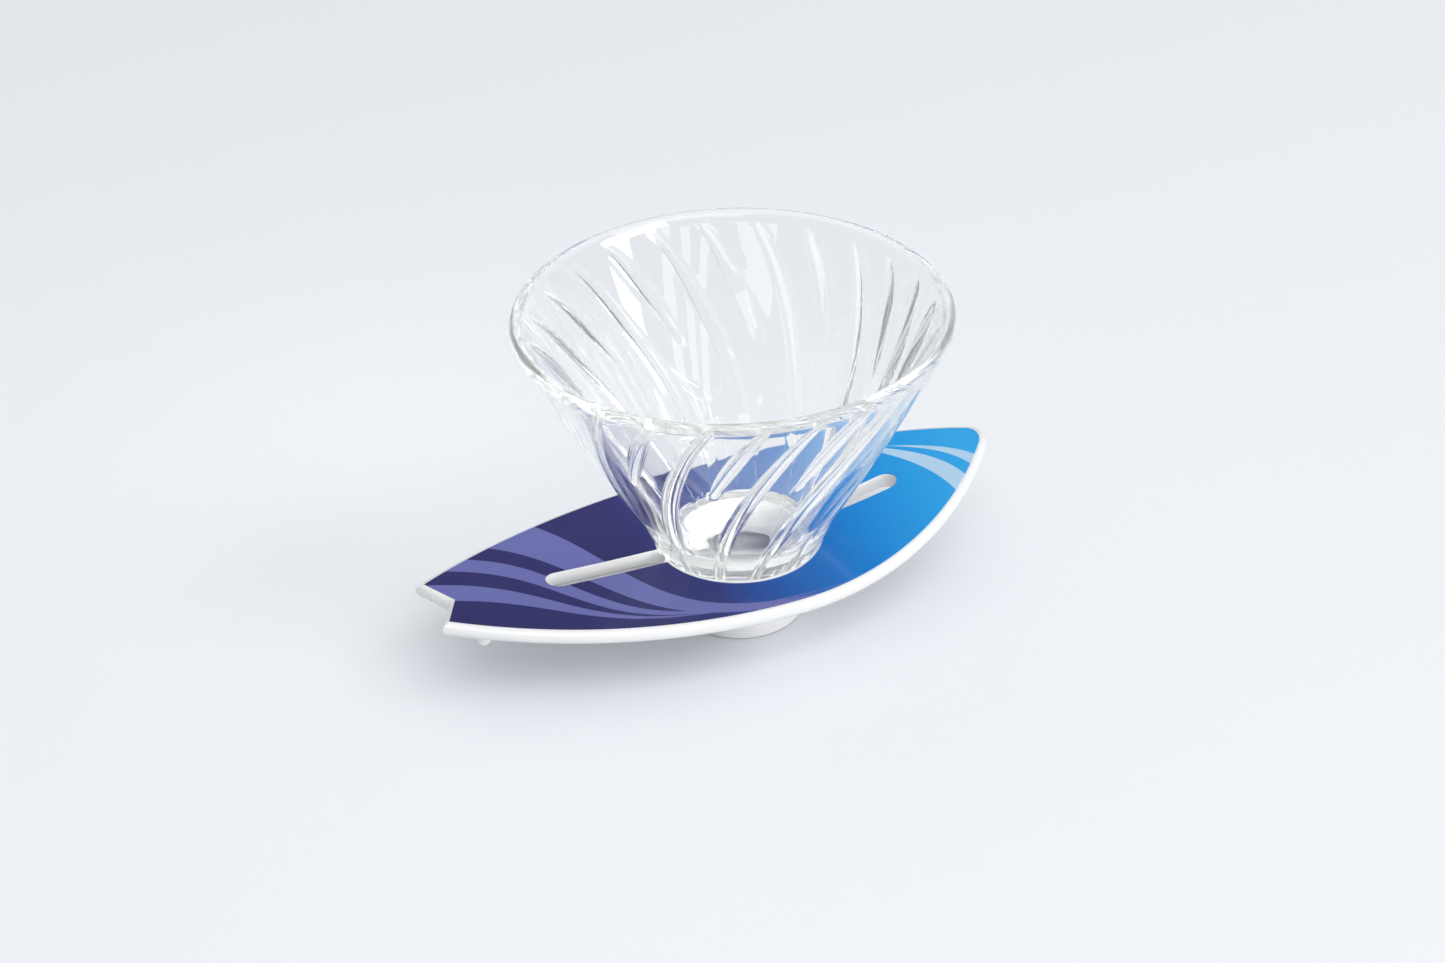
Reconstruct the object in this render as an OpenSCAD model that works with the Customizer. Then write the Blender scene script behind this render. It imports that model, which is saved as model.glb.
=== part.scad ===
// Pour over dripper: a clear ribbed cone that sits in a base shaped like a small surfboard.
// Millimetres, +Z up. The origin is the centre of the foot ring on the table; the board's nose points to +X.

/* [Cone] */
// Outer diameter of the rim; with the cone angle it sets the height
rim_d = 116; // [104:1:126]
// Wall thickness at the rim, which is rounded over all of it
rim_wall = 3.6; // [3:0.1:4.2]
// Included angle inside the cone
cone_angle = 60; // [57:1:62]
// Diameter of the outlet
outlet_d = 18; // [15:0.5:21]
// Wall thickness of the neck below the board, measured level
neck_wall = 3.6; // [3:0.1:4.2]
// Extra radius of the thick foot band over the neck
foot_step = 4; // [3.4:0.1:5]
// Number of ribs inside, long and short in turn
ribs = 24; // [20:2:28]
// Height of a rib above the inner wall
rib_h = 1.8; // [0.8:0.1:2.2]
// Width of a rib at its base
rib_w = 5; // [3:0.1:6]

/* [Board] */
// Height of the board's top face over the table, at the cone
board_z = 22.3; // [20:0.1:28]
// Thickness of the board
board_t = 4; // [3.4:0.1:5]
// Width of the board at its widest
board_w = 73.6; // [68:0.2:88]
// Length from the cone's axis to the tip of the nose
nose_l = 74.5; // [64:0.5:90]
// Length from the cone's axis to the tips of the tail
tail_l = 88.7; // [76:0.1:106]
// Width between the tips of the tail
tail_w = 20.8; // [16:0.2:26]
// Depth of the fishtail notch
notch_d = 5.1; // [3:0.1:8]
// Rise of the nose
nose_lift = 13.2; // [8:0.1:16]
// Rise of the tail
tail_lift = 5.3; // [3:0.1:8]
// Width of the two viewing slots
slot_w = 6.6; // [5:0.1:8]
// End of the nose slot, from the cone's axis
slot_nose = 47.1; // [40:0.1:57]
// End of the tail slot, from the cone's axis
slot_tail = 55.9; // [46:0.1:68]
// Thickness of the printed film
film_t = 0.2; // [0.1:0.05:0.3]

/* [Foot ring] */
// Wall of the ring where it stands
ring_wall = 3.8; // [3.2:0.1:4.8]
// Depth of the collar that the ring locks onto
collar_h = 8.3; // [7.5:0.1:10]
// Turn that unlocks the ring, in degrees
unlock_turn = 45; // [35:1:50]
// Gap between parts that turn or lift apart
gap = 0.3; // [0.2:0.05:0.35]

/* [Hidden] */
$fn = 96;
stick = 0.04;                                   // adhesive or squeeze gap between pieces that stay together

// Inside of the cone
half_angle = cone_angle / 2;
seat_z = board_z + film_t;                      // the glass foot sits here, on the packing
neck_z = seat_z - 10;                           // the cone runs into the outlet here
outlet_r = outlet_d / 2;
lip_r = rim_wall / 2;
lip_c = rim_d / 2 - lip_r;
lip_z = neck_z + (lip_c - lip_r / cos(half_angle) - outlet_r) / tan(half_angle);
function inner_r(z) = outlet_r + (z - neck_z) * tan(half_angle);

// Outside of the cone
neck_r = outlet_r + neck_wall;
function neck_cone_r(z) = inner_r(z) + neck_wall;
foot_r = neck_cone_r(seat_z) + foot_step;
foot_chamfer = 0.5;
band_top = [foot_r + 4.7, seat_z + 11];
flare_top = [inner_r(seat_z + 17.5) + 6.3, seat_z + 17.5];
outer_tilt = 26;                                // steepness of the outer wall where it meets the lip
outer_bow = 0.7;

// Ribs
rib_top = lip_z - 1.4;
rib_low = neck_z + 3;
rib_short_low = rib_top - 0.36 * (rib_top - rib_low);
swirl_rate = 0.58;                              // degrees of swirl per millimetre down
swirl_hook = 1.2;                               // extra swirl in degrees near the rib's top
hook_l = 10;
rib_root = 0.8;
rib_phase = -0.07;                              // turns the whole set of ribs by part of a pitch

// Board
edge_r = board_t / 2;                           // the board's edge is rounded over its whole thickness
edge_steps = [[0.5, 0], [0.175, 0.2], [0, 0.55]]; // inset and depth, as parts of the edge radius
beam_x = 3;
film_nose_r = 6.3;
film_notch_x = -tail_l + notch_d + edge_r;
notch_angle = atan(2 * notch_d / tail_w);
nose_bend = (pow(nose_l, 2) + pow(nose_lift, 2)) / (2 * nose_lift);
tail_bend = (pow(tail_l, 2) + pow(tail_lift, 2)) / (2 * tail_lift);
film_hole_r = foot_r + 0.6;                     // also the flat seat sunk into the curved board
film_margin = 0.2;                              // film edge to slot edge
slot_inner = foot_r - 0.2;
side_steps = 20;
nose_steps = 10;

// Collar, packing and ring
hole_r = neck_cone_r(seat_z) + 1;
flange_t = 0.8;
flange_r = foot_r - 0.9;
packing_low = neck_z + 2;
packing_t = 2.2;
collar_r = hole_r + 2.2;
collar_low = board_z - board_t - collar_h;
lug_angle = 28;
lug_out = 1.4;
lug_z = collar_low + 2;
lug_t = 1.6;
lugs = 3;
slack_angle = 0.8;
socket_r = collar_r + gap;
groove_r = collar_r + lug_out + gap;
cap_r = groove_r + 1.7;
cap_top = board_z - board_t - 0.5;
ring_hole_r = neck_r + 0.5;
ring_r = ring_hole_r + ring_wall;
neck_low = collar_low - 5;
foot_straight = collar_low - 5;                 // the ring's straight foot, below its flare
seal_r = 1;
seal_z = collar_low - 3;
seal_c = neck_r + gap + seal_r;
peg_x = -0.885 * tail_l;
peg_y = 0.159 * board_w;
peg_r = 2.1;
peg_drop = 3.4;                                 // how far a peg stands below the board

// Points along an arc
function arc(c, r, from, to, n) =
    [for (i = [0:n]) let (a = from + (to - from) * i / n) c + r * [cos(a), sin(a)]];
// Points from a to b along a shallow bow, which swells by sag to the right of the way
function bow(a, b, sag, n) =
    let (d = (b - a) / norm(b - a))
    [for (i = [0:n]) let (t = i / n) a + (b - a) * t + 4 * sag * t * (1 - t) * [d[1], -d[0]]];

// ---- cone ----
module cone_shell() {
    lip = [lip_c, lip_z];
    start = lip + lip_r * [cos(outer_tilt), -sin(outer_tilt)];
    outline = concat(
        [[outlet_r, neck_low], [neck_r, neck_low], [neck_r, neck_z], [neck_cone_r(seat_z), seat_z]],
        [[foot_r - foot_chamfer, seat_z], [foot_r, seat_z + foot_chamfer], band_top],
        bow(flare_top, start, outer_bow, 8),
        arc(lip, lip_r, -outer_tilt + 12, 180 - half_angle, 12),
        [[outlet_r, neck_z]]
    );
    rotate_extrude() polygon(outline);
}

// Angle that a rib has turned at height z; it turns faster near its top
function swirl(z) =
    let (drop = rib_top - z)
    -swirl_rate * drop - swirl_hook * (1 - pow(max(0, 1 - drop / hook_l), 2));

// One rib: a ridge that follows the swirl, pointed at both ends
module rib(low, steps) {
    function swell(t) = sin(180 * pow(t, 0.8));
    function section(t) =
        let (
            z = rib_top + (low - rib_top) * t,
            r = inner_r(z),
            half = (0.25 + 0.75 * swell(t)) * rib_w / 2 * (0.55 + 0.45 * r / lip_c),
            rise = (rib_h + 0.15) * swell(t) - 0.15,
            spread = half / r * 180 / PI
        )
        [for (p = [[-1, -rib_root], [-0.4, rise], [0.4, rise], [1, -rib_root]])
            let (a = swirl(z) + p[0] * spread, q = r - p[1]) [q * cos(a), q * sin(a), z]];
    points = [for (i = [0:steps]) each section(i / steps)];
    sides = [for (i = [0:steps - 1], j = [0:3])
        let (a = 4 * i + j, b = 4 * i + (j + 1) % 4) each [[a, b + 4, b], [a, a + 4, b + 4]]];
    last = 4 * steps;
    ends = [[0, 1, 2], [0, 2, 3], [last, last + 2, last + 1], [last, last + 3, last + 2]];
    polyhedron(points, concat(sides, ends));
}

module cone() {
    color([0.86, 0.93, 0.93, 0.4]) union() {
        cone_shell();
        for (i = [0:ribs - 1])
            rotate(360 * (i + rib_phase) / ribs)
                rib(i % 2 == 0 ? rib_low : rib_short_low, i % 2 == 0 ? 14 : 7);
    }
}

// ---- packing ----
module packing() {
    clear = gap;
    mid_z = packing_low + 3;
    color("gainsboro") rotate_extrude() polygon([
        [neck_cone_r(packing_low) + clear, packing_low],
        [neck_cone_r(packing_low) + clear + packing_t, packing_low],
        [hole_r - stick, mid_z],
        [hole_r - stick, seat_z - flange_t],
        [flange_r, seat_z - flange_t],
        [flange_r, seat_z],
        [neck_cone_r(seat_z) + clear, seat_z]
    ]);
}

// ---- board ----
// Outline of the film; grow moves it out to the board's edge
function board_outline(grow) =
    let (
        half = board_w / 2 - edge_r,
        tip = [-tail_l + edge_r, tail_w / 2 - edge_r / 2],
        nose_r = film_nose_r,
        nose_x = nose_l - edge_r - nose_r,
        fore_r = (pow(nose_x - beam_x, 2) + pow(half, 2) - pow(nose_r, 2)) / (2 * (half - nose_r)),
        fore_a = atan2(fore_r - half, nose_x - beam_x),
        drop = half - tip[1],
        aft_r = (pow(beam_x - tip[0], 2) + pow(drop, 2)) / (2 * drop),
        notch = film_notch_x - grow / cos(notch_angle),
        corner_a = 90 + asin((beam_x - tip[0] + grow * 0.6) / aft_r),
        aft = arc([beam_x, half - aft_r], aft_r + grow, corner_a, 90, side_steps),
        fore = arc([beam_x, half - fore_r], fore_r + grow, 90, fore_a, side_steps),
        nose = arc([nose_x, 0], nose_r + grow, fore_a, 0, nose_steps),
        upper = concat(aft, [for (i = [1:side_steps]) fore[i]], [for (i = [1:nose_steps]) nose[i]]),
        count = len(upper)
    )
    concat([[notch, 0]], upper, [for (i = [2:count]) [upper[count - i][0], -upper[count - i][1]]]);

// The curved sheet between two depths below the board's top face
module rocker_sheet(shallow, deep) {
    reach = 2 * (nose_l + tail_l);
    for (half = [[nose_bend, 0, nose_l + 5], [tail_bend, -tail_l - 5, tail_l + 5]])
        rotate([90, 0, 0]) linear_extrude(reach, center = true) intersection() {
            translate([0, board_z + half[0]]) difference() {
                circle(half[0] + deep, $fn = 900);
                circle(half[0] + shallow, $fn = 900);
            }
            translate([half[1], board_z - board_t - 1])
                square([half[2], board_t + nose_lift + tail_lift + 6]);
        }
}

module board_blank(grow, shallow, deep) {
    intersection() {
        linear_extrude(board_z + nose_lift + 20) polygon(board_outline(grow));
        rocker_sheet(shallow, deep);
    }
}

// The two viewing slots as seen from above, grown all round by grow
module slots(grow) {
    r = slot_w / 2;
    for (span = [[slot_inner, slot_nose], [-slot_tail, -slot_inner]]) {
        translate([span[0] + r, -r - grow]) square([span[1] - span[0] - slot_w, slot_w + 2 * grow]);
        for (x = [span[0] + r, span[1] - r]) translate([x, 0]) circle(r + grow);
    }
}

// Three equal sectors of a ring: the collar's lugs, and the channels that take them
module lug_ring(inner, outer, from, to, low, high) {
    for (i = [0:lugs - 1])
        rotate(i * 360 / lugs + from) rotate_extrude(angle = to - from)
            translate([inner, low]) square([outer - inner, high - low]);
}

// A small round-ended peg under the tail
module peg() {
    low = board_z - board_t - peg_drop + pow(peg_x, 2) / (2 * tail_bend);
    translate([0, 0, low + peg_r]) sphere(peg_r);
    translate([0, 0, low + peg_r]) cylinder(h = peg_drop - peg_r + board_t / 2, r = peg_r);
}

module board() {
    color("white") difference() {
        union() {
            for (s = edge_steps)
                board_blank(edge_r * (1 - s[0]), edge_r * s[1], board_t - edge_r * s[1]);
            translate([0, 0, collar_low]) cylinder(h = board_z - board_t / 2 - collar_low, r = collar_r);
            lug_ring(collar_r - 0.5, collar_r + lug_out, 0, lug_angle, lug_z, lug_z + lug_t);
            for (side = [-1, 1]) translate([peg_x, side * peg_y, 0]) peg();
        }
        translate([0, 0, collar_low - 1]) cylinder(h = board_z, r = hole_r);
        translate([0, 0, board_z]) cylinder(h = 5, r = film_hole_r);
        translate([0, 0, seat_z - flange_t - stick]) cylinder(h = 5, r = flange_r + stick);
        linear_extrude(board_z + nose_lift) slots(0);
    }
}

// ---- top film ----
module top_film() {
    color("royalblue") difference() {
        board_blank(0, -film_t, -stick);
        cylinder(h = board_z + 5, r = film_hole_r);
        linear_extrude(board_z + nose_lift + 5) slots(film_margin);
    }
}

// ---- foot ring ----
module lock_ring() {
    groove_low = lug_z - gap;
    groove_high = lug_z + lug_t + gap;
    stop_end = lug_angle + slack_angle;
    open_end = -unlock_turn - slack_angle;
    color("silver") difference() {
        rotate_extrude() polygon([
            [ring_hole_r, 0], [ring_r, 0], [ring_r, foot_straight],
            [cap_r, foot_straight + 6], [cap_r, cap_top], [socket_r, cap_top],
            [socket_r, collar_low], [ring_hole_r, collar_low]
        ]);
        lug_ring(socket_r - 0.5, groove_r, open_end, stop_end, groove_low, groove_high);
        lug_ring(socket_r - 0.5, groove_r, open_end, stop_end - unlock_turn, groove_low, cap_top + 1);
        translate([0, 0, seal_z - seal_r - stick])
            cylinder(h = 2 * (seal_r + stick), r = seal_c + seal_r + stick);
    }
}

// ---- ring seal ----
module ring_seal() {
    color("lightgray") rotate_extrude() translate([seal_c, seal_z]) circle(seal_r, $fn = 32);
}

cone();
packing();
board();
top_film();
lock_ring();
ring_seal();
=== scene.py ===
import bpy, bmesh
from math import radians, sin, cos, tan, asin, atan, atan2, sqrt, pi
from mathutils import Matrix, Vector


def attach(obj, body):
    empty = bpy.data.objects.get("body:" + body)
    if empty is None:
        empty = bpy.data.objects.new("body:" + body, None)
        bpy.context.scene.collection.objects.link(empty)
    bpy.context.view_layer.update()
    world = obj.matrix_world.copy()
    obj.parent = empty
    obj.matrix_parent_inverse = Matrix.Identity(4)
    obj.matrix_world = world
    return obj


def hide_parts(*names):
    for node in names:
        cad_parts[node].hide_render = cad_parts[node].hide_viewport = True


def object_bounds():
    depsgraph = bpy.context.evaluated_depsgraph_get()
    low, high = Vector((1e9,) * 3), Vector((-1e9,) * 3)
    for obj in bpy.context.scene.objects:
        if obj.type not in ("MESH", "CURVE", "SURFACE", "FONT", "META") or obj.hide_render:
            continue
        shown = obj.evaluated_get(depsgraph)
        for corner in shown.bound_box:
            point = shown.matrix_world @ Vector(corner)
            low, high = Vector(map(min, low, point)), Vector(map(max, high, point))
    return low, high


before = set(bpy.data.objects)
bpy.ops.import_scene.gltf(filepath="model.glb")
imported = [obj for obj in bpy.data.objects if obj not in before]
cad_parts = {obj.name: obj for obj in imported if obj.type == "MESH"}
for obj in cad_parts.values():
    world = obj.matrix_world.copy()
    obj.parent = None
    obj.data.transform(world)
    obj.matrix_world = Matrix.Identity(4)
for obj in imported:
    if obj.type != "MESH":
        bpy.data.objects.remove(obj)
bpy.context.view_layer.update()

scene = bpy.context.scene
print("frame loaded:", sorted(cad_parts))

# pieces are drawn in millimetres and scaled to metres when they are finished
millimetre = 0.001
mergeGap = 0.0005                               # vertices closer than this become one


# Helpers for nodes, meshes and materials
def addNode(tree, kind, **values):
    node = tree.nodes.new(kind)
    for key, value in values.items():
        setattr(node, key, value)
    return node


def connect(tree, value, socket):
    # a socket is linked, anything else is typed into the field
    if isinstance(value, bpy.types.NodeSocket):
        tree.links.new(value, socket)
    else:
        socket.default_value = value


def calc(tree, operation, a, b=0.0, clamp=False):
    node = addNode(tree, "ShaderNodeMath", operation=operation, use_clamp=clamp)
    connect(tree, a, node.inputs[0])
    connect(tree, b, node.inputs[1])
    return node.outputs[0]


def mapRange(tree, value, fromMin, fromMax, toMin=0.0, toMax=1.0, kind="LINEAR"):
    node = addNode(tree, "ShaderNodeMapRange", interpolation_type=kind)
    for socket, number in zip(node.inputs, (value, fromMin, fromMax, toMin, toMax)):
        connect(tree, number, socket)
    return node.outputs[0]


def mixColor(tree, factor, a, b, blend="MIX"):
    node = addNode(tree, "ShaderNodeMix", data_type="RGBA", blend_type=blend)
    connect(tree, factor, node.inputs[0])
    connect(tree, a, node.inputs[6])
    connect(tree, b, node.inputs[7])
    return node.outputs[2]


def objectPlace(tree):
    # the X and Y of a point on the piece
    split = addNode(tree, "ShaderNodeSeparateXYZ")
    tree.links.new(addNode(tree, "ShaderNodeTexCoord").outputs["Object"], split.inputs[0])
    return split.outputs[0], split.outputs[1]


def newMaterial(name, **values):
    material = bpy.data.materials.new(name)
    material.use_nodes = True
    tree = material.node_tree
    shader = tree.nodes["Principled BSDF"]
    for key, value in values.items():
        shader.inputs[key.replace("_", " ")].default_value = value
    return material, tree, shader


def finishPiece(name, bm, material, body, replaces=(), sharp=32):
    bmesh.ops.scale(bm, vec=(millimetre,) * 3, verts=bm.verts)
    mesh = bpy.data.meshes.new(name)
    bm.to_mesh(mesh)
    bm.free()
    mesh.materials.append(material)
    mesh.polygons.foreach_set("use_smooth", [True] * len(mesh.polygons))
    mesh.set_sharp_from_angle(angle=radians(sharp))
    piece = bpy.data.objects.new(name, mesh)
    scene.collection.objects.link(piece)
    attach(piece, body)
    if replaces:
        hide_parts(*replaces)
    return piece


def booleans(bm, steps):
    # steps are (operation, bmesh); each one is put through a Boolean modifier and applied
    made = []
    for part in [bm] + [b for _, b in steps]:
        mesh = bpy.data.meshes.new("part")
        part.to_mesh(mesh)
        part.free()
        made.append(bpy.data.objects.new("part", mesh))
        scene.collection.objects.link(made[-1])
    for (operation, _), tool in zip(steps, made[1:]):
        modifier = made[0].modifiers.new(operation, "BOOLEAN")
        modifier.operation, modifier.object, modifier.solver = operation, tool, "EXACT"
    depsgraph = bpy.context.evaluated_depsgraph_get()
    result = bmesh.new()
    result.from_mesh(made[0].evaluated_get(depsgraph).to_mesh())
    for obj in made:
        mesh = obj.data
        bpy.data.objects.remove(obj)
        bpy.data.meshes.remove(mesh)
    bmesh.ops.remove_doubles(result, verts=result.verts, dist=mergeGap)
    return result


def wire(points, closed=True):
    # a few corners in the XZ plane, joined in order
    bm = bmesh.new()
    verts = [bm.verts.new((r, 0, z)) for r, z in points]
    for a, b in zip(verts, verts[1:] + verts[:1] if closed else verts[1:]):
        bm.edges.new((a, b))
    return bm


def vertAt(bm, r, z):
    return min(bm.verts, key=lambda v: (v.co - Vector((r, 0, z))).length)


def edgeAt(bm, a, b):
    return bm.edges.get((vertAt(bm, *a), vertAt(bm, *b)))


def roundCorners(bm, corners, size, segments=3):
    verts = [vertAt(bm, *corner) for corner in corners]
    bmesh.ops.bevel(bm, geom=verts, offset=size, offset_type="OFFSET", affect="VERTICES",
                    segments=segments, profile=0.5, material=-1)


def turned(bm, steps=160):
    # a closed section spun all the way round the Z axis
    bmesh.ops.spin(bm, geom=bm.verts[:] + bm.edges[:], cent=(0, 0, 0), axis=(0, 0, 1),
                   angle=2 * pi, steps=steps, use_merge=True)
    bmesh.ops.remove_doubles(bm, verts=bm.verts, dist=mergeGap)
    bmesh.ops.recalc_face_normals(bm, faces=bm.faces)
    return bm


def sector(points, start, angle, steps=10):
    # a closed section spun part of the way round, with both ends filled
    bm = wire(points)
    face = bm.faces.new(bm.verts[:])
    bmesh.ops.rotate(bm, cent=(0, 0, 0), matrix=Matrix.Rotation(radians(start), 3, "Z"), verts=bm.verts)
    bmesh.ops.spin(bm, geom=[face], cent=(0, 0, 0), axis=(0, 0, 1), angle=radians(angle), steps=steps)
    bmesh.ops.recalc_face_normals(bm, faces=bm.faces)
    return bm


def joinInto(bm, other):
    # adds another bmesh's shells to this one
    mesh = bpy.data.meshes.new("part")
    other.to_mesh(mesh)
    other.free()
    bm.from_mesh(mesh)
    bpy.data.meshes.remove(mesh)


# Surface detail shared by the pieces
def makeSurfaceGrain():
    # fine moulding texture and soft handling marks, used by every plastic and rubber piece
    group = bpy.data.node_groups.new("surfaceGrain", "ShaderNodeTree")
    for name, value in (("Grain Scale", 900.0), ("Mark Scale", 60.0)):
        socket = group.interface.new_socket(name, in_out="INPUT", socket_type="NodeSocketFloat")
        socket.default_value = value
    for name in ("Height", "Marks"):
        group.interface.new_socket(name, in_out="OUTPUT", socket_type="NodeSocketFloat")
    start = addNode(group, "NodeGroupInput")
    end = addNode(group, "NodeGroupOutput")
    place = addNode(group, "ShaderNodeTexCoord").outputs["Object"]
    grain = addNode(group, "ShaderNodeTexNoise", noise_dimensions="3D")
    grain.inputs["Detail"].default_value = 3
    group.links.new(place, grain.inputs["Vector"])
    group.links.new(start.outputs["Grain Scale"], grain.inputs["Scale"])
    marks = addNode(group, "ShaderNodeTexNoise", noise_dimensions="3D")
    marks.inputs["Detail"].default_value = 5
    marks.inputs["Roughness"].default_value = 0.62
    marks.inputs["Distortion"].default_value = 0.6
    group.links.new(place, marks.inputs["Vector"])
    group.links.new(start.outputs["Mark Scale"], marks.inputs["Scale"])
    group.links.new(grain.outputs["Fac"], end.inputs["Height"])
    group.links.new(mapRange(group, marks.outputs["Fac"], 0.32, 0.72), end.inputs["Marks"])
    return group


surfaceGrain = makeSurfaceGrain()


def grainOn(tree, shader, grainScale, markScale, bump, roughFrom, roughTo):
    grain = addNode(tree, "ShaderNodeGroup", node_tree=surfaceGrain)
    grain.inputs["Grain Scale"].default_value = grainScale
    grain.inputs["Mark Scale"].default_value = markScale
    relief = addNode(tree, "ShaderNodeBump")
    relief.inputs["Strength"].default_value = bump[0]
    relief.inputs["Distance"].default_value = bump[1] * millimetre
    tree.links.new(grain.outputs["Height"], relief.inputs["Height"])
    tree.links.new(relief.outputs[0], shader.inputs["Normal"])
    rough = mapRange(tree, grain.outputs["Marks"], 0, 1, roughFrom, roughTo)
    tree.links.new(rough, shader.inputs["Roughness"])
    return grain


# The glass cone
coneShape = {
    "rimDiameter": 115.98, "rimWall": 3.6, "halfAngle": 30, "outlet": 9, "neckWall": 3.6,
    "footStep": 4, "footRound": 0.5, "seat": 22.5, "neckDrop": 10, "neckLow": 5,
    "bandTop": (4.7, 11), "flareTop": (6.3, 17.5), "outerTilt": 27, "outerBow": 0.45,
    "ribs": 24, "ribHeight": 2.2, "ribWidth": 5.2, "ribPhase": -0.07, "shortRib": 0.36,
    "swirl": 0.58, "hook": 1.2, "hookLength": 10,
    "ribTopDrop": 1.4, "ribFootUp": 3,          # ribs start this far below the lip and end above the neck
    "stepsPerRib": 26, "gather": 0.62, "crown": 1.3, "innerBow": 1.3, "fineBand": 14,
}


def makeCone():
    c = coneShape
    slope = tan(radians(c["halfAngle"]))
    neck = c["seat"] - c["neckDrop"]
    lipRadius = c["rimWall"] / 2
    lipAt = c["rimDiameter"] / 2 - lipRadius
    lipUp = neck + (lipAt - lipRadius / cos(radians(c["halfAngle"])) - c["outlet"]) / slope

    def innerAt(z):
        return c["outlet"] + (z - neck) * slope

    foot = innerAt(c["seat"]) + c["neckWall"] + c["footStep"]
    bandTop = (foot + c["bandTop"][0], c["seat"] + c["bandTop"][1])
    flareTop = (innerAt(c["seat"] + c["flareTop"][1]) + c["flareTop"][0], c["seat"] + c["flareTop"][1])
    tilt = radians(c["outerTilt"])
    lipOut = (lipAt + lipRadius * cos(tilt), lipUp - lipRadius * sin(tilt))

    # corners of the section, from the outlet's lower edge round the outside to the lip
    corners = [(c["outlet"], c["neckLow"]), (c["outlet"] + c["neckWall"], c["neckLow"]),
               (c["outlet"] + c["neckWall"], neck), (innerAt(c["seat"]) + c["neckWall"], c["seat"]),
               (foot, c["seat"]), bandTop, flareTop, lipOut]
    bm = wire(corners, closed=False)
    for a, b, cuts in ((flareTop, lipOut, 24), (bandTop, flareTop, 2), (corners[4], bandTop, 4)):
        bmesh.ops.subdivide_edges(bm, edges=[edgeAt(bm, a, b)], cuts=cuts)
    along = Vector((lipOut[0] - flareTop[0], 0, lipOut[1] - flareTop[1]))
    for v in bm.verts:                                          # the long outer wall swells a little
        if flareTop[1] + 0.01 < v.co.z < lipOut[1] - 0.01:
            t = (v.co.z - flareTop[1]) / along.z
            v.co += 4 * c["outerBow"] * t * (1 - t) * Vector((along.z, 0, -along.x)).normalized()

    # rolled lip, then the straight inner wall down to the neck
    lip = bmesh.ops.spin(bm, geom=[vertAt(bm, *lipOut)], cent=(lipAt, 0, lipUp), axis=(0, -1, 0),
                         angle=radians(180 - c["halfAngle"] + c["outerTilt"]), steps=14)
    inside = [e for e in lip["geom_last"] if isinstance(e, bmesh.types.BMVert)][0]
    throat = bm.verts.new((c["outlet"], 0, neck))
    wallTop = inside.co.z
    half = bm.verts.new((innerAt(wallTop - c["fineBand"]), 0, wallTop - c["fineBand"]))
    upper, lower = bm.edges.new((inside, half)), bm.edges.new((half, throat))
    bore = bm.edges.new((throat, vertAt(bm, *corners[0])))
    for edge, cuts in ((upper, 17), (lower, 46), (bore, 3)):
        bmesh.ops.subdivide_edges(bm, edges=[edge], cuts=cuts)
    for corner, size, segments in ((0, 0.6, 3), (1, 0.6, 3), (3, 0.8, 2), (4, 0.6, 4), (5, 3, 4), (6, 2.6, 4)):
        roundCorners(bm, [corners[corner]], size, segments)
    turned(bm, c["ribs"] * c["stepsPerRib"])

    # ribs: each ring's steps gather on the ribs and the rings turn with the swirl,
    # then the inner wall rises into ridges
    ribTop = lipUp - c["ribTopDrop"]
    ribLow = neck + c["ribFootUp"]
    shortLow = ribTop - c["shortRib"] * (ribTop - ribLow)
    pitch = 2 * pi / c["ribs"]
    for v in bm.verts:
        r, z, turn = v.co.xy.length, v.co.z, atan2(v.co.y, v.co.x) % (2 * pi)
        index = round(turn / pitch)
        share = (turn - index * pitch) / (pitch / 2)              # -1 to 1 across one rib's strip
        drop = max(0.0, ribTop - z)
        t = min(1.0, drop / (ribTop - (ribLow if index % 2 == 0 else shortLow)))
        swell = sin(pi * t ** 0.75) ** 0.7
        ribHalf = (0.35 + 0.65 * swell) * c["ribWidth"] / 2 * (0.75 + 0.25 * r / lipAt) / r
        across = min(1.0, abs(share) / c["gather"])
        offset = ribHalf * sin(pi / 2 * across)
        offset += (pitch / 2 - ribHalf) * max(0.0, abs(share) - c["gather"]) / (1 - c["gather"])
        spin = -c["swirl"] * drop - c["hook"] * (1 - max(0.0, 1 - drop / c["hookLength"]) ** 2)
        turn = (index % c["ribs"] + c["ribPhase"]) * pitch + (offset if share > 0 else -offset) + radians(spin)
        if abs(r - innerAt(z)) < 0.02 and z > neck:
            up = (z - neck) / (lipUp - neck)
            ridge = c["ribHeight"] * swell * max(0.0, cos(pi / 2 * across)) ** c["crown"]
            r += 4 * c["innerBow"] * up * (1 - up) - ridge
        v.co = (r * cos(turn), r * sin(turn), z)
    return bm


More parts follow.
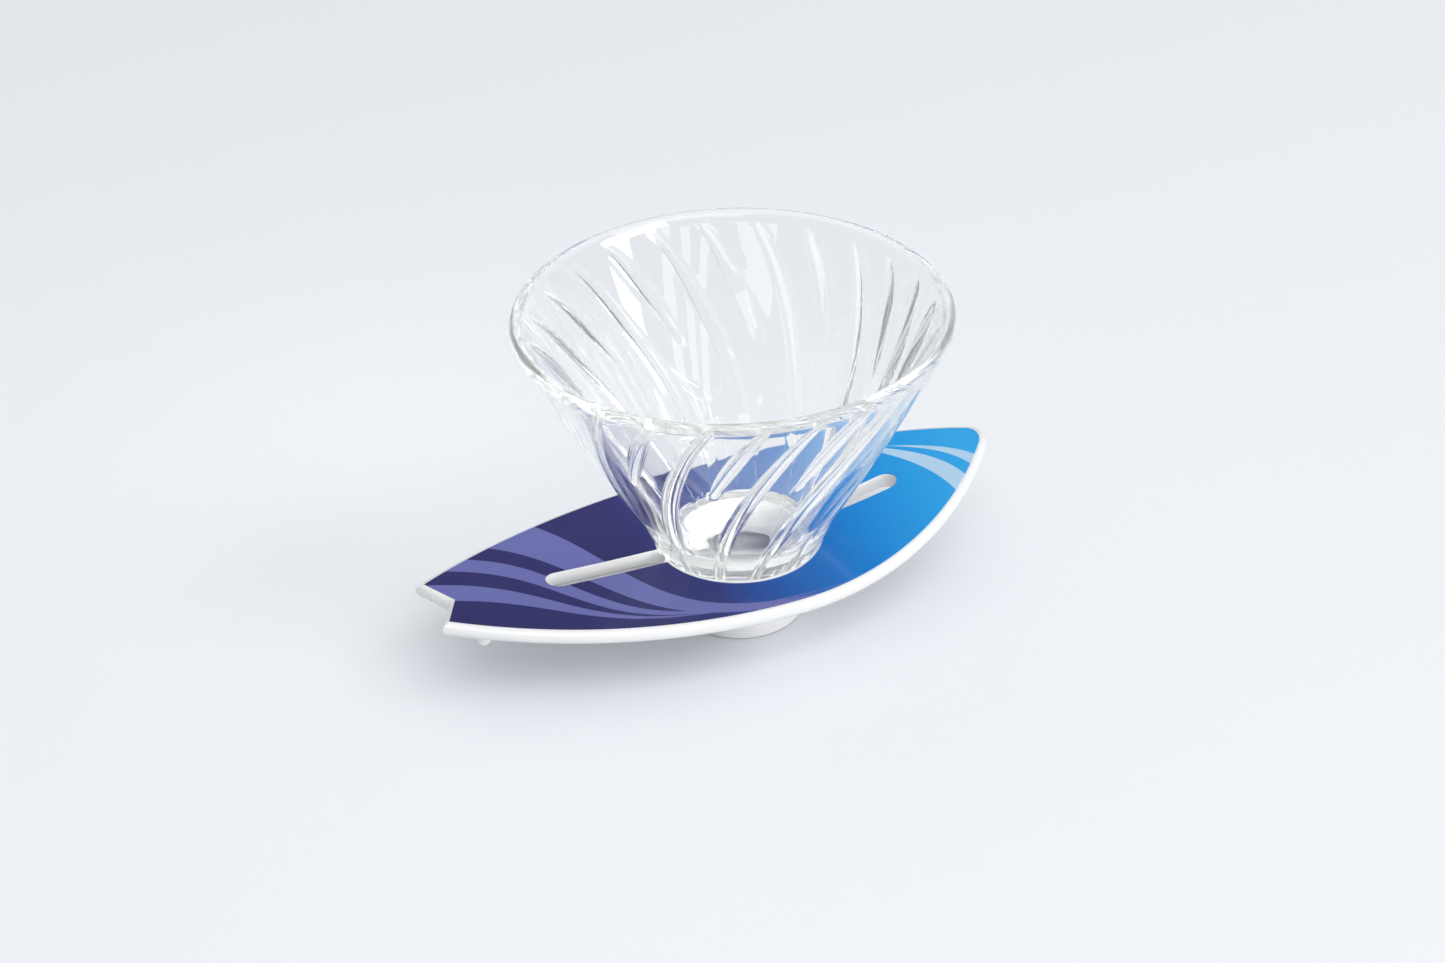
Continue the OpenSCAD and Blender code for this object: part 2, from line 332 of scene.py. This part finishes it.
def clearGlass():
    material, tree, shader = newMaterial("clearGlass", Base_Color=(1, 1, 1, 1), Roughness=0.0,
                                         IOR=1.5, Transmission_Weight=1.0, Metallic=0.0)
    place = addNode(tree, "ShaderNodeTexCoord").outputs["Object"]
    ripple = addNode(tree, "ShaderNodeTexNoise")                # faint waves left by the press
    ripple.inputs["Scale"].default_value = 60
    ripple.inputs["Detail"].default_value = 1
    tree.links.new(place, ripple.inputs["Vector"])
    relief = addNode(tree, "ShaderNodeBump")
    relief.inputs["Strength"].default_value = 0.2
    relief.inputs["Distance"].default_value = 0.06 * millimetre
    tree.links.new(ripple.outputs["Fac"], relief.inputs["Height"])
    tree.links.new(relief.outputs[0], shader.inputs["Normal"])
    clear = addNode(tree, "ShaderNodeBsdfTransparent")
    clear.inputs[0].default_value = (0.96, 0.97, 0.97, 1)
    shadowRay = addNode(tree, "ShaderNodeLightPath").outputs["Is Shadow Ray"]
    both = addNode(tree, "ShaderNodeMixShader")
    tree.links.new(shadowRay, both.inputs[0])
    tree.links.new(shader.outputs[0], both.inputs[1])
    tree.links.new(clear.outputs[0], both.inputs[2])
    end = tree.nodes["Material Output"]
    tree.links.new(both.outputs[0], end.inputs["Surface"])
    tint = addNode(tree, "ShaderNodeVolumeAbsorption")
    tint.inputs["Color"].default_value = (0.6, 0.76, 0.7, 1)
    tint.inputs["Density"].default_value = 0.9
    tree.links.new(tint.outputs[0], end.inputs["Volume"])
    return material


glassCone = finishPiece("glass_cone", makeCone(), clearGlass(), "funnel", ["cone"], sharp=60)
print("glass cone:", len(glassCone.data.polygons), "faces")

# The board
boardShape = {
    "nose": 74.5, "tail": 88.699, "width": 73.6, "tailWidth": 20.8, "notch": 5.1, "beam": 3, "noseRound": 6.3,
    "thick": 4, "edge": 2, "top": 22.3, "noseLift": 13.2, "tailLift": 5.3, "station": 3,
    "slotWidth": 6.6, "slotNose": (22.17, 47.1), "slotTail": (-55.9, -22.17), "rim": 0.35,
    "bore": 19.37, "collar": 21.57, "collarLow": 10, "seat": 22.97, "flange": 21.51, "flangeAt": 21.66,
    "lugLow": 12, "lugHigh": 13.6, "lugOut": 1.4, "lugAngle": 28,
    "pegX": -78.5, "pegY": 11.7, "pegRadius": 2.1, "pegDrop": 3.4,
}


def boardOutline(grow, z=0.0):
    # the edge of the film, or of the board when grow is its edge radius: arcs along one side, mirrored
    b = boardShape
    half = b["width"] / 2 - b["edge"]
    tipX, tipY = -b["tail"] + b["edge"], b["tailWidth"] / 2 - b["edge"] / 2
    noseX = b["nose"] - b["edge"] - b["noseRound"]
    reach = noseX - b["beam"]
    foreRadius = (reach ** 2 + half ** 2 - b["noseRound"] ** 2) / (2 * (half - b["noseRound"]))
    foreAngle = atan2(foreRadius - half, reach)
    back, fall = b["beam"] - tipX, half - tipY
    aftRadius = (back ** 2 + fall ** 2) / (2 * fall)
    aftAngle = asin((back + grow * 0.6) / aftRadius)
    notchSlope = atan(2 * b["notch"] / b["tailWidth"])
    notchX = -b["tail"] + b["notch"] + b["edge"] - grow / cos(notchSlope)

    bm = bmesh.new()
    last = bm.verts.new((noseX + b["noseRound"] + grow, 0, z))
    for centre, angle, steps in (((noseX, 0, z), foreAngle, 14),
                                 ((b["beam"], half - foreRadius, z), pi / 2 - foreAngle, 26),
                                 ((b["beam"], half - aftRadius, z), aftAngle, 26)):
        arc = bmesh.ops.spin(bm, geom=[last], cent=centre, axis=(0, 0, 1), angle=angle, steps=steps)
        last = [v for v in arc["geom_last"] if isinstance(v, bmesh.types.BMVert)][0]
    bm.edges.new((last, bm.verts.new((notchX, 0, z))))
    bmesh.ops.mirror(bm, geom=bm.verts[:] + bm.edges[:], axis="Y", merge_dist=0.001)
    return bm


def slotOutline(span, grow, z=0.0):
    # a long hole with round ends
    radius = boardShape["slotWidth"] / 2
    bm = bmesh.new()
    near, far = span[0] + radius, span[1] - radius
    ends = []
    for x, y in ((far, -radius - grow), (near, radius + grow)):
        first = bm.verts.new((x, y, z))
        arc = bmesh.ops.spin(bm, geom=[first], cent=(x, 0, z), axis=(0, 0, 1), angle=pi, steps=16)
        ends.append((first, [v for v in arc["geom_last"] if isinstance(v, bmesh.types.BMVert)][0]))
    bm.edges.new((ends[0][1], ends[1][0]))
    bm.edges.new((ends[1][1], ends[0][0]))
    return bm


def stackLoops(bm, loops):
    # joins closed outlines of equal size into a wall, and returns the first and last outline's edges
    rings = []
    for loop in loops:
        before = set(bm.edges)
        joinInto(bm, loop)
        rings.append([e for e in bm.edges if e not in before])
    for lower, upper in zip(rings, rings[1:]):
        bmesh.ops.bridge_loops(bm, edges=lower + upper)
    return rings[0], rings[-1]


def rocker(bm, stations=True):
    # cuts the flat piece across at even steps, then bends it up towards the nose and the tail
    b = boardShape
    if stations:
        step = b["station"]
        for x in [i * step for i in range(int(-b["tail"] / step), int(b["nose"] / step) + 1)]:
            bmesh.ops.bisect_plane(bm, geom=bm.verts[:] + bm.edges[:] + bm.faces[:], dist=0.0001,
                                   plane_co=(x, 0, 0), plane_no=(1, 0, 0))
    for v in bm.verts:
        length, lift = (b["nose"], b["noseLift"]) if v.co.x > 0 else (b["tail"], b["tailLift"])
        bend = (length ** 2 + lift ** 2) / (2 * lift)
        v.co.z = b["top"] + bend - sqrt((bend - v.co.z) ** 2 - v.co.x ** 2)


def fillBetween(bm, edges):
    bmesh.ops.triangle_fill(bm, use_beauty=True, use_dissolve=False, edges=edges, normal=(0, 0, 1))


def makeBoard():
    b = boardShape
    bm = bmesh.new()
    edge, rim = b["edge"], b["rim"]
    turns = [radians(90 - 180 * i / 16) for i in range(17)]
    top, bottom = stackLoops(bm, [boardOutline(edge * cos(a), edge * (sin(a) - 1)) for a in turns])
    for span in (b["slotNose"], b["slotTail"]):
        rims = [(rim * (1 - sin(radians(a))), -rim * (1 - cos(radians(a)))) for a in (0, 22, 45, 68, 90)]
        rims = [(rim + 0.15, 0)] + rims
        loops = [slotOutline(span, grow, z) for grow, z in rims]
        loops += [slotOutline(span, grow, -b["thick"] - z) for grow, z in reversed(rims)]
        upper, lower = stackLoops(bm, loops)
        top, bottom = top + upper, bottom + lower
    fillBetween(bm, top)
    fillBetween(bm, bottom)
    bmesh.ops.remove_doubles(bm, verts=bm.verts, dist=mergeGap)
    bmesh.ops.recalc_face_normals(bm, faces=bm.faces)
    rocker(bm)

    solidCutter = discStack([(b["collarLow"] - 2, b["bore"] + 0.5), (b["collarLow"], b["bore"] + 0.5),
                             (b["collarLow"] + 0.5, b["bore"]), (b["flangeAt"], b["bore"]),
                             (b["flangeAt"], b["flange"]), (b["top"], b["flange"]),
                             (b["top"], b["seat"]), (b["top"] + 4, b["seat"])])
    solidCollar = discStack([(b["collarLow"], b["collar"] - 0.4), (b["collarLow"] + 0.12, b["collar"] - 0.12),
                             (b["collarLow"] + 0.4, b["collar"]), (b["top"] - b["thick"] / 2, b["collar"])])
    bm = booleans(bm, [("UNION", solidCollar), ("DIFFERENCE", solidCutter)])

    for i in range(3):
        inside, outside = b["collar"] - 0.5, b["collar"] + b["lugOut"]
        lug = [(inside, b["lugLow"]), (outside, b["lugLow"]), (outside, b["lugHigh"]), (inside, b["lugHigh"])]
        joinInto(bm, sector(lug, 120 * i, b["lugAngle"]))
    tailBend = (b["tail"] ** 2 + b["tailLift"] ** 2) / (2 * b["tailLift"])
    pegLow = b["top"] - b["thick"] - b["pegDrop"] + b["pegX"] ** 2 / (2 * tailBend)
    for side in (-1, 1):
        peg = discStack([(pegLow + b["pegRadius"] * (1 - cos(radians(a))), b["pegRadius"] * sin(radians(a)))
                         for a in (12, 30, 48, 66, 90)] + [(pegLow + b["pegDrop"] + 1.6, b["pegRadius"])], 40)
        bmesh.ops.translate(peg, vec=(b["pegX"], side * b["pegY"], 0), verts=peg.verts)
        joinInto(bm, peg)
    return bm


def discStack(levels, steps=160):
    # a solid of revolution from (height, radius) levels, closed by a disc at each end
    bm = bmesh.new()
    rings = []
    for z, radius in levels:
        circle = bmesh.ops.create_circle(bm, cap_ends=False, radius=radius, segments=steps,
                                         matrix=Matrix.Translation((0, 0, z)))
        rings.append(list({e for v in circle["verts"] for e in v.link_edges}))
    for lower, upper in zip(rings, rings[1:]):
        bmesh.ops.bridge_loops(bm, edges=lower + upper)
    for ring in (rings[0], rings[-1]):
        bmesh.ops.contextual_create(bm, geom=ring)
    bmesh.ops.recalc_face_normals(bm, faces=bm.faces)
    return bm


def whitePlastic():
    material, tree, shader = newMaterial("glossWhitePlastic", Base_Color=(0.74, 0.745, 0.75, 1), IOR=1.49,
                                         Coat_Weight=0.25, Coat_Roughness=0.06)
    grain = grainOn(tree, shader, 420, 45, (0.12, 0.05), 0.2, 0.32)
    speck = mixColor(tree, grain.outputs["Marks"], (0.73, 0.735, 0.74, 1), (0.76, 0.762, 0.765, 1))
    tree.links.new(speck, shader.inputs["Base Color"])
    return material


boardPiece = finishPiece("board_plate", makeBoard(), whitePlastic(), "base", ["board"])
print("board:", len(boardPiece.data.polygons), "faces")

# The printed film on the board
filmShape = {"top": 0.2, "under": 0.04, "margin": 0.2, "edge": 0.05}
filmColors = {
    "run": [(-0.030, (0.022, 0.022, 0.115)), (-0.014, (0.018, 0.026, 0.15)), (-0.002, (0.008, 0.06, 0.29)),
            (0.010, (0.002, 0.1, 0.4)), (0.022, (0.002, 0.155, 0.52)), (0.036, (0.003, 0.235, 0.64)),
            (0.050, (0.01, 0.31, 0.73)), (0.068, (0.025, 0.37, 0.78))],
    "tailBand": (0.125, 0.135, 0.37), "noseBand": (0.43, 0.63, 0.82),
}
# each tail band lies between two waves: height at the back, middle of the fall, its spread and its foot
tailBands = [((49, -38.1, 10.8, -41.3), (37.6, -45.5, 14.2, -44.3)),
             ((29, -50.5, 13, -38), (23.5, -54, 14, -38)),
             ((18, -57, 17, -38), (10, -58.5, 20, -38))]
# each nose band lies between two bows: x of the crest, y of the crest and how fast it falls away
noseBands = [((57.2, -17, 0.0097), (62.1, -15, 0.0144)), ((65.4, -14, 0.0182), (69.2, -16, 0.02))]


def filmHole(grow, z=0.0):
    # the round cut-out for the glass and both slots as one outline
    b = boardShape
    radius = b["slotWidth"] / 2 + grow
    opening = b["seat"]
    bm = bmesh.new()
    first = bm.verts.new((b["slotNose"][1] + grow, 0, z))
    meet = asin(radius / opening)

    def sweep(v, x, r, angle, steps):
        arc = bmesh.ops.spin(bm, geom=[v], cent=(x, 0, z), axis=(0, 0, 1), angle=angle, steps=steps)
        return [p for p in arc["geom_last"] if isinstance(p, bmesh.types.BMVert)][0]

    end = sweep(first, b["slotNose"][1] - b["slotWidth"] / 2, radius, pi / 2, 10)
    corner = bm.verts.new((opening * cos(meet), radius, z))
    bm.edges.new((end, corner))
    end = sweep(corner, 0, opening, pi - 2 * meet, 60)
    tailTop = bm.verts.new((b["slotTail"][0] + b["slotWidth"] / 2, radius, z))
    bm.edges.new((end, tailTop))
    sweep(tailTop, b["slotTail"][0] + b["slotWidth"] / 2, radius, pi / 2, 10)
    bmesh.ops.mirror(bm, geom=bm.verts[:] + bm.edges[:], axis="Y", merge_dist=0.001)
    return bm


def makeFilm():
    f = filmShape
    bm = bmesh.new()
    levels = [(f["edge"] + 0.15, f["top"]), (f["edge"], f["top"]),
              (0.3 * f["edge"], f["top"] - 0.3 * f["edge"]), (0, f["top"] - f["edge"]), (0, f["under"])]
    outer = stackLoops(bm, [boardOutline(-inset, z) for inset, z in levels])
    inner = stackLoops(bm, [filmHole(f["margin"] + inset, z) for inset, z in levels])
    fillBetween(bm, outer[0] + inner[0])
    fillBetween(bm, outer[1] + inner[1])
    bmesh.ops.remove_doubles(bm, verts=bm.verts, dist=mergeGap)
    bmesh.ops.recalc_face_normals(bm, faces=bm.faces)
    rocker(bm)
    return bm


def makeWaveEdge():
    # how far a point lies above a wave that falls from the back of the board to its front
    group = bpy.data.node_groups.new("waveEdge", "ShaderNodeTree")
    for name in ("X", "Y", "Height", "Middle", "Spread", "Foot"):
        group.interface.new_socket(name, in_out="INPUT", socket_type="NodeSocketFloat")
    group.interface.new_socket("Above", in_out="OUTPUT", socket_type="NodeSocketFloat")
    start = addNode(group, "NodeGroupInput").outputs
    end = addNode(group, "NodeGroupOutput")
    run = calc(group, "DIVIDE", calc(group, "SUBTRACT", start["Middle"], start["X"]), start["Spread"])
    bend = calc(group, "ADD", calc(group, "DIVIDE", calc(group, "ARCTANGENT", run), pi), 0.5)
    rise = calc(group, "SUBTRACT", start["Height"], start["Foot"])
    wave = calc(group, "ADD", calc(group, "MULTIPLY", bend, rise), start["Foot"])
    group.links.new(calc(group, "SUBTRACT", start["Y"], wave), end.inputs["Above"])
    return group


waveEdge = makeWaveEdge()


def printedFilm():
    material, tree, shader = newMaterial("printedFilm", IOR=1.36, Roughness=0.16)
    x, y = objectPlace(tree)
    soft = 0.07 * millimetre                                    # width of the print's edge

    ramp = addNode(tree, "ShaderNodeValToRGB")
    low, high = filmColors["run"][0][0], filmColors["run"][-1][0]
    stops = ramp.color_ramp.elements
    stops.remove(stops[1])
    for i, (at, color) in enumerate(filmColors["run"]):
        stop = stops[0] if i == 0 else stops.new((at - low) / (high - low))
        stop.position = (at - low) / (high - low)
        stop.color = color + (1,)
    lean = calc(tree, "SUBTRACT", x, calc(tree, "MULTIPLY", y, 0.12))     # the colours run slightly aslant
    tree.links.new(mapRange(tree, lean, low, high), ramp.inputs[0])
    color = ramp.outputs[0]

    def above(edge):
        wave = addNode(tree, "ShaderNodeGroup", node_tree=waveEdge)
        tree.links.new(x, wave.inputs["X"])
        tree.links.new(y, wave.inputs["Y"])
        for name, value in zip(("Height", "Middle", "Spread", "Foot"), edge):
            wave.inputs[name].default_value = value * millimetre
        return mapRange(tree, wave.outputs[0], -soft, soft)

    for upper, lower in tailBands:
        inside = calc(tree, "MULTIPLY", above(lower), calc(tree, "SUBTRACT", 1.0, above(upper)))
        color = mixColor(tree, inside, color, filmColors["tailBand"] + (1,))

    def past(bow):
        crest, middle, fall = bow[0] * millimetre, bow[1] * millimetre, bow[2] / millimetre
        away = calc(tree, "POWER", calc(tree, "ABSOLUTE", calc(tree, "SUBTRACT", y, middle)), 2.0)
        edge = calc(tree, "SUBTRACT", crest, calc(tree, "MULTIPLY", away, fall))
        return mapRange(tree, calc(tree, "SUBTRACT", x, edge), -soft, soft)

    for near, far in noseBands:
        inside = calc(tree, "MULTIPLY", past(near), calc(tree, "SUBTRACT", 1.0, past(far)))
        color = mixColor(tree, inside, color, filmColors["noseBand"] + (1,))

    grain = grainOn(tree, shader, 260, 50, (0.05, 0.04), 0.1, 0.18)
    faded = mixColor(tree, calc(tree, "MULTIPLY", grain.outputs["Marks"], 0.006), color, (0.6, 0.68, 0.9, 1))
    tree.links.new(faded, shader.inputs["Base Color"])
    return material


filmPiece = finishPiece("top_skin", makeFilm(), printedFilm(), "base", ["top_film"])
print("film:", len(filmPiece.data.polygons), "faces")

# The packing, the foot ring and its seal
# corners of each section as radius and height, and the size of the ring's rounded corners
packingShape = [(15.055, 14.5), (17.255, 14.5), (19.33, 17.5), (19.33, 21.7),
                (21.47, 21.7), (21.47, 22.5), (18.67, 22.5)]
ringShape = [(13.1, 0), (16.9, 0), (16.9, 5), (24.97, 11),
             (24.97, 17.8), (21.87, 17.8), (21.87, 10), (13.1, 10)]
ringRounds = {1: 0.6, 0: 0.4, 2: 1.2, 3: 1.5, 4: 0.5, 5: 0.3}
sealShape = {"middle": 13.9, "height": 7, "radius": 1}


def makePacking():
    bm = wire(packingShape)
    roundCorners(bm, packingShape[:3], 0.3)
    roundCorners(bm, packingShape[4:6], 0.2, 2)
    return turned(bm, 144)


def makeFootRing():
    bm = wire(ringShape)
    for i, size in ringRounds.items():
        roundCorners(bm, [ringShape[i]], size, 4)
    return turned(bm, 192)


def makeSeal():
    s = sealShape
    bm = bmesh.new()
    first = bm.verts.new((s["middle"] + s["radius"], 0, s["height"]))
    bmesh.ops.spin(bm, geom=[first], cent=(s["middle"], 0, s["height"]), axis=(0, 1, 0), angle=2 * pi,
                   steps=20, use_merge=True)
    return turned(bm, 120)


def softRubber(name, color, rough):
    material, tree, shader = newMaterial(name, Base_Color=color + (1,), IOR=1.41, Subsurface_Weight=0.12)
    shader.inputs["Subsurface Radius"].default_value = (0.002, 0.002, 0.002)
    shader.inputs["Subsurface Scale"].default_value = 1.0
    grain = grainOn(tree, shader, 1100, 90, (0.25, 0.04), rough, rough + 0.12)
    dust = mixColor(tree, grain.outputs["Marks"], color + (1,), tuple(0.92 * v for v in color) + (1,))
    tree.links.new(dust, shader.inputs["Base Color"])
    return material


def mattePlastic():
    material, tree, shader = newMaterial("mattePlastic", Base_Color=(0.83, 0.825, 0.82, 1), IOR=1.49)
    grain = grainOn(tree, shader, 1300, 70, (0.35, 0.05), 0.42, 0.58)
    tone = mixColor(tree, grain.outputs["Marks"], (0.83, 0.825, 0.82, 1), (0.87, 0.865, 0.86, 1))
    tree.links.new(tone, shader.inputs["Base Color"])
    return material


finishPiece("packing_sleeve", makePacking(), softRubber("packingRubber", (0.86, 0.86, 0.85), 0.4),
            "base", ["packing"])
finishPiece("foot_ring", makeFootRing(), mattePlastic(), "foot", ["lock_ring"])
finishPiece("ring_seal_cord", makeSeal(), softRubber("sealRubber", (0.6, 0.6, 0.59), 0.45),
            "foot", ["ring_seal"])
print("packing, ring and seal done")

# The table, the lamps and the camera
stageSetup = {"floor": (0.8, 0.825, 0.862), "size": 6.0, "drop": 0.0002}


def makeStage():
    bm = bmesh.new()
    bmesh.ops.create_grid(bm, x_segments=2, y_segments=2, size=stageSetup["size"] / 2)
    mesh = bpy.data.meshes.new("table")
    bm.to_mesh(mesh)
    bm.free()
    table = bpy.data.objects.new("table", mesh)
    scene.collection.objects.link(table)
    table.location.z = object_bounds()[0][2] - stageSetup["drop"]
    material, _, shader = newMaterial("tableTop", Roughness=0.6, Specular_IOR_Level=0.2)
    shader.inputs["Base Color"].default_value = stageSetup["floor"] + (1,)
    mesh.materials.append(material)


lampSetup = [
    # name, azimuth, elevation and distance from the glass, width, height, watts, colour
    ("key", -82, 52, 3.0, 3.6, 1.8, 47, (1.0, 0.995, 0.98)),
    ("fill", -62, 14, 4.5, 3.0, 0.8, 88, (1.0, 0.995, 0.99)),
    ("paneRight", -73, 24.5, 2.0, 1.5, 0.034, 0.4, (0.97, 0.99, 1.0)),
    ("paneLeft", -126, 24.5, 2.0, 0.85, 0.034, 0.24, (0.97, 0.99, 1.0)),
    ("paneLow", -84, 27.3, 2.0, 1.1, 0.026, 0.22, (0.97, 0.99, 1.0)),
]


lampCentre = Vector((0, 0.04, 0.07))            # the lamps stand round the glass


def aimed(azimuth, elevation):
    return Matrix.Rotation(radians(azimuth), 4, "Z") @ Matrix.Rotation(radians(90 - elevation), 4, "X")


def makeLights():
    for name, azimuth, elevation, distance, width, height, watts, color in lampSetup:
        light = bpy.data.lights.new(name, "AREA")
        light.shape, light.size, light.size_y = "RECTANGLE", width, height
        light.energy, light.color = watts, color
        lamp = bpy.data.objects.new(name, light)
        scene.collection.objects.link(lamp)
        turn = aimed(azimuth + 90, elevation)
        lamp.matrix_world = Matrix.Translation(lampCentre + turn.to_3x3() @ Vector((0, 0, distance))) @ turn
        lamp.visible_glossy = name != "fill"    # the fill only softens the shadow under the board
    world = bpy.data.worlds.new("studio")
    scene.world = world
    world.use_nodes = True
    tree = world.node_tree
    split = addNode(tree, "ShaderNodeSeparateXYZ")
    tree.links.new(addNode(tree, "ShaderNodeTexCoord").outputs["Generated"], split.inputs[0])
    sky = mapRange(tree, split.outputs[2], 0.58, 0.82, 0.0, 1.0, "SMOOTHSTEP")
    color = mixColor(tree, sky, (0.3, 0.305, 0.315, 1), (0.97, 0.975, 0.985, 1))
    behind = mapRange(tree, split.outputs[1], -0.3, -0.9, 0.0, 0.4)      # the room behind the camera is darker
    low = mapRange(tree, split.outputs[2], 0.55, 0.15, 0.0, 1.0)
    color = mixColor(tree, calc(tree, "MULTIPLY", behind, low), color, (0.12, 0.12, 0.13, 1))
    tree.links.new(color, tree.nodes["Background"].inputs["Color"])
    tree.nodes["Background"].inputs["Strength"].default_value = 1.0


cameraSetup = {"aim": (0.003522, 0.018271, 0.028277), "distance": 0.89539, "azimuth": -23.321,
               "elevation": 32.727, "roll": -1.955, "lens": 81.29}


def makeCamera():
    c = cameraSetup
    turn = aimed(c["azimuth"], c["elevation"]) @ Matrix.Rotation(radians(c["roll"]), 4, "Z")
    data = bpy.data.cameras.new("camera")
    data.lens, data.sensor_width, data.sensor_fit = c["lens"], 36, "HORIZONTAL"
    data.clip_start, data.clip_end = 0.01, 50
    camera = bpy.data.objects.new("camera", data)
    scene.collection.objects.link(camera)
    place = Vector(c["aim"]) + turn.to_3x3() @ Vector((0, 0, c["distance"]))
    camera.matrix_world = Matrix.Translation(place) @ turn
    scene.camera = camera


makeStage()
makeLights()
makeCamera()
scene.view_settings.view_transform = "Standard"
scene.cycles.max_bounces = 64                   # light runs a long way inside the glass wall
scene.cycles.transmission_bounces = 64
scene.cycles.glossy_bounces = 64
scene.cycles.transparent_max_bounces = 32
print("stage, lights and camera done")
